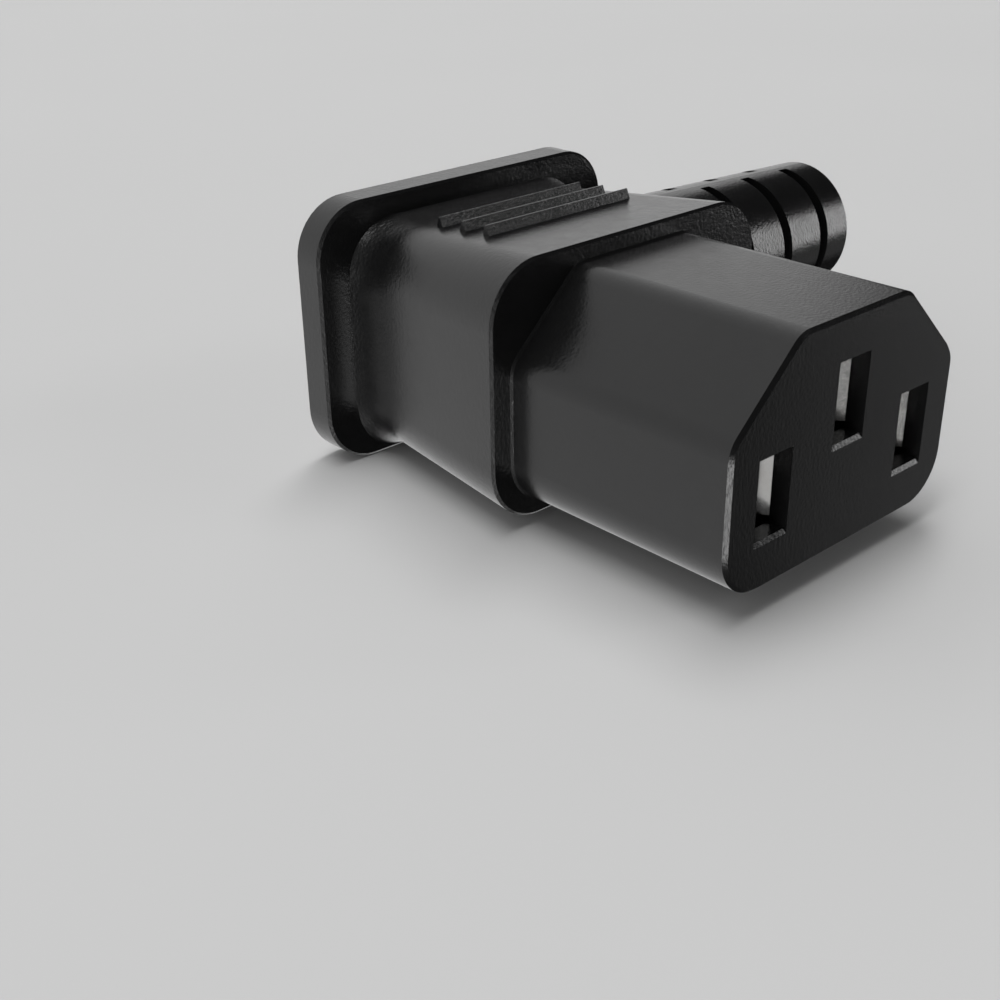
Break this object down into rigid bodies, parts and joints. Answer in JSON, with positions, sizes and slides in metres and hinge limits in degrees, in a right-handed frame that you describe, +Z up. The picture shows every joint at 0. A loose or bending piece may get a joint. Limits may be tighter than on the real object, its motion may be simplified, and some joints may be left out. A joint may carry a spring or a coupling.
{
  "type": "right-angle power cord connector",
  "caption": "Right-angle female appliance power connector: slotted nose, ribbed grip with a rear flange, slotted strain relief with an open cord bore, and stamped spring contacts inside.",
  "frame": {"origin": "on the engagement face, halfway between the centres of the two power slots", "axes": "-Y out of the engagement face towards the inlet, +X along the cord as it leaves, +Z up towards the earth slot"},
  "size_m": [0.0478, 0.0368, 0.0193],
  "materials": {
    "black_moulding": "fine-grained satin moulding",
    "black_carrier": "fine-grained satin moulding",
    "grey_filler": "plain inner moulding",
    "contact_metal": "tin-plated stamped sheet",
    "brown_insulation": "extruded",
    "blue_insulation": "extruded",
    "green_yellow_insulation": "extruded, striped",
    "copper_strands": "bare stranded copper"
  },
  "bodies": {
    "root": {"moulded_body": "black_moulding", "contact_carrier": "black_carrier", "carrier_cap": "black_carrier", "inner_mould": "grey_filler", "line_contact": "contact_metal", "neutral_contact": "contact_metal", "earth_contact": "contact_metal", "line_insulation": "brown_insulation", "neutral_insulation": "blue_insulation", "earth_insulation": "green_yellow_insulation", "line_strands": "copper_strands", "neutral_strands": "copper_strands", "earth_strands": "copper_strands"}
  },
  "joints": []
}
